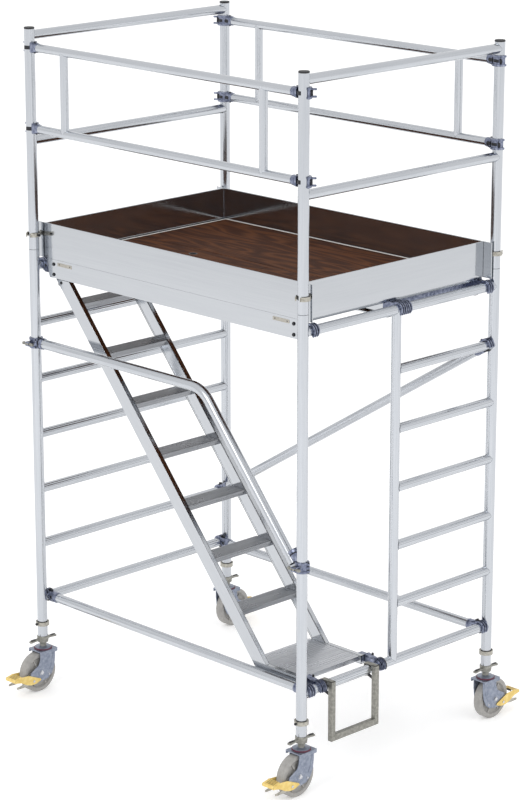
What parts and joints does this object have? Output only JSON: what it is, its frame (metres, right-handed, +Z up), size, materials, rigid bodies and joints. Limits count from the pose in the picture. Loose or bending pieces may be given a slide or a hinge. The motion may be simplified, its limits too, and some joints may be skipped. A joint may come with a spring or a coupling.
{
  "type": "mobile scaffold tower",
  "caption": "Rolling aluminium access tower with a guarded timber deck, a hatch, an inclined stair and braked levelling casters.",
  "frame": {"origin": "on the floor under the middle of the tower, midway between its four posts", "axes": "+Z up; +X along the platform, from the closed ladder frame towards the doorway frame; +Y across it, from the stair side towards the diagonal brace"},
  "size_m": [1.903, 1.692, 3.3083],
  "materials": {
    "aluminium": "mill-finish extruded aluminium, satin",
    "casting": "blue-grey die-cast aluminium, tumbled",
    "plywood": "film-faced birch plywood with dark red-brown grain",
    "galvanised": "zinc-plated steel, dull",
    "fork_steel": "blue-passivated pressed steel",
    "wheel_grey": "grey polyamide and rubber wheel, matt",
    "pedal_yellow": "yellow painted steel",
    "clip_steel": "spring steel",
    "cap_black": "black moulded plastic"
  },
  "bodies": {
    "tower": {"base_frame_left": "aluminium", "base_frame_portal": "aluminium", "guard_frame_left": "aluminium", "guard_frame_right": "aluminium", "end_cap_front_left": "cap_black", "end_cap_front_right": "cap_black", "end_cap_rear_left": "cap_black", "end_cap_rear_right": "cap_black", "frame_lock_clip_front_left": "clip_steel", "frame_lock_clip_front_right": "clip_steel", "frame_lock_clip_rear_left": "clip_steel", "frame_lock_clip_rear_right": "clip_steel", "bottom_rail_front": "aluminium", "bottom_rail_rear": "aluminium", "diagonal_brace_rear": "aluminium", "double_guard_rail_front": "aluminium", "double_guard_rail_rear": "aluminium", "toe_board_front": "aluminium", "toe_board_rear": "aluminium", "toe_board_left": "aluminium", "toe_board_right": "aluminium", "platform_frame_front": "aluminium", "platform_frame_rear": "aluminium", "deck_panel_front": "plywood", "deck_panel_rear": "plywood", "stair_stringer_front": "aluminium", "stair_stringer_rear": "aluminium", "stair_tread_1": "aluminium", "stair_tread_2": "aluminium", "stair_tread_3": "aluminium", "stair_tread_4": "aluminium", "stair_tread_5": "aluminium", "stair_tread_6": "aluminium", "stair_tread_7": "aluminium", "stair_landing": "aluminium", "handrail": "aluminium", "handrail_coupler_upper": "casting", "handrail_coupler_lower": "casting", "entry_step": "galvanised"},
    "hatch": {"hatch_lid": "plywood"},
    "spindle_front_left": {"caster_spindle_front_left": "galvanised"},
    "nut_front_left": {"spindle_nut_front_left": "galvanised"},
    "fork_front_left": {"caster_fork_front_left": "fork_steel"},
    "wheel_front_left": {"caster_wheel_front_left": "wheel_grey"},
    "pedal_front_left": {"brake_pedal_front_left": "pedal_yellow"},
    "spindle_front_right": {"caster_spindle_front_right": "galvanised"},
    "nut_front_right": {"spindle_nut_front_right": "galvanised"},
    "fork_front_right": {"caster_fork_front_right": "fork_steel"},
    "wheel_front_right": {"caster_wheel_front_right": "wheel_grey"},
    "pedal_front_right": {"brake_pedal_front_right": "pedal_yellow"},
    "spindle_rear_left": {"caster_spindle_rear_left": "galvanised"},
    "nut_rear_left": {"spindle_nut_rear_left": "galvanised"},
    "fork_rear_left": {"caster_fork_rear_left": "fork_steel"},
    "wheel_rear_left": {"caster_wheel_rear_left": "wheel_grey"},
    "pedal_rear_left": {"brake_pedal_rear_left": "pedal_yellow"},
    "spindle_rear_right": {"caster_spindle_rear_right": "galvanised"},
    "nut_rear_right": {"spindle_nut_rear_right": "galvanised"},
    "fork_rear_right": {"caster_fork_rear_right": "fork_steel"},
    "wheel_rear_right": {"caster_wheel_rear_right": "wheel_grey"},
    "pedal_rear_right": {"brake_pedal_rear_right": "pedal_yellow"}
  },
  "joints": [
    {"name": "hatch_hinge", "type": "hinge", "parent": "tower", "child": "hatch", "pos_m": [-0.393, -0.5822, 2.215], "axis": [1, 0, 0], "range_deg": [0, 90]},
    {"name": "levelling_front_left", "type": "slide", "parent": "tower", "child": "spindle_front_left", "axis": [0, 0, -1], "range_m": [0, 0.2]},
    {"name": "nut_turn_front_left", "type": "hinge", "parent": "tower", "child": "nut_front_left", "pos_m": [-0.904, -0.633, 0.264], "axis": [0, 0, 1], "range_deg": [0, 9000]},
    {"name": "swivel_front_left", "type": "hinge", "parent": "spindle_front_left", "child": "fork_front_left", "pos_m": [-0.904, -0.633, 0.211], "axis": [0, 0, 1], "continuous": true},
    {"name": "wheel_spin_front_left", "type": "hinge", "parent": "fork_front_left", "child": "wheel_front_left", "pos_m": [-0.904, -0.673, 0.1], "axis": [1, 0, 0], "continuous": true},
    {"name": "brake_front_left", "type": "hinge", "parent": "fork_front_left", "child": "pedal_front_left", "pos_m": [-0.904, -0.727, 0.07], "axis": [-1, 0, 0], "range_deg": [0, 15]},
    {"name": "levelling_front_right", "type": "slide", "parent": "tower", "child": "spindle_front_right", "axis": [0, 0, -1], "range_m": [0, 0.2]},
    {"name": "nut_turn_front_right", "type": "hinge", "parent": "tower", "child": "nut_front_right", "pos_m": [0.904, -0.633, 0.264], "axis": [0, 0, 1], "range_deg": [0, 9000]},
    {"name": "swivel_front_right", "type": "hinge", "parent": "spindle_front_right", "child": "fork_front_right", "pos_m": [0.904, -0.633, 0.211], "axis": [0, 0, 1], "continuous": true},
    {"name": "wheel_spin_front_right", "type": "hinge", "parent": "fork_front_right", "child": "wheel_front_right", "pos_m": [0.904, -0.673, 0.1], "axis": [1, 0, 0], "continuous": true},
    {"name": "brake_front_right", "type": "hinge", "parent": "fork_front_right", "child": "pedal_front_right", "pos_m": [0.904, -0.727, 0.07], "axis": [-1, 0, 0], "range_deg": [0, 15]},
    {"name": "levelling_rear_left", "type": "slide", "parent": "tower", "child": "spindle_rear_left", "axis": [0, 0, -1], "range_m": [0, 0.2]},
    {"name": "nut_turn_rear_left", "type": "hinge", "parent": "tower", "child": "nut_rear_left", "pos_m": [-0.904, 0.633, 0.264], "axis": [0, 0, 1], "range_deg": [0, 9000]},
    {"name": "swivel_rear_left", "type": "hinge", "parent": "spindle_rear_left", "child": "fork_rear_left", "pos_m": [-0.904, 0.633, 0.211], "axis": [0, 0, 1], "continuous": true},
    {"name": "wheel_spin_rear_left", "type": "hinge", "parent": "fork_rear_left", "child": "wheel_rear_left", "pos_m": [-0.904, 0.673, 0.1], "axis": [1, 0, 0], "continuous": true},
    {"name": "brake_rear_left", "type": "hinge", "parent": "fork_rear_left", "child": "pedal_rear_left", "pos_m": [-0.904, 0.727, 0.07], "axis": [1, 0, 0], "range_deg": [0, 15]},
    {"name": "levelling_rear_right", "type": "slide", "parent": "tower", "child": "spindle_rear_right", "axis": [0, 0, -1], "range_m": [0, 0.2]},
    {"name": "nut_turn_rear_right", "type": "hinge", "parent": "tower", "child": "nut_rear_right", "pos_m": [0.904, 0.633, 0.264], "axis": [0, 0, 1], "range_deg": [0, 9000]},
    {"name": "swivel_rear_right", "type": "hinge", "parent": "spindle_rear_right", "child": "fork_rear_right", "pos_m": [0.904, 0.633, 0.211], "axis": [0, 0, 1], "continuous": true},
    {"name": "wheel_spin_rear_right", "type": "hinge", "parent": "fork_rear_right", "child": "wheel_rear_right", "pos_m": [0.904, 0.673, 0.1], "axis": [1, 0, 0], "continuous": true},
    {"name": "brake_rear_right", "type": "hinge", "parent": "fork_rear_right", "child": "pedal_rear_right", "pos_m": [0.904, 0.727, 0.07], "axis": [1, 0, 0], "range_deg": [0, 15]}
  ],
  "couplings": [
    {"joint": "nut_turn_front_left", "follows": "levelling_front_left", "rad_per_m": 785.4},
    {"joint": "nut_turn_front_right", "follows": "levelling_front_right", "rad_per_m": 785.4},
    {"joint": "nut_turn_rear_left", "follows": "levelling_rear_left", "rad_per_m": 785.4},
    {"joint": "nut_turn_rear_right", "follows": "levelling_rear_right", "rad_per_m": 785.4}
  ]
}
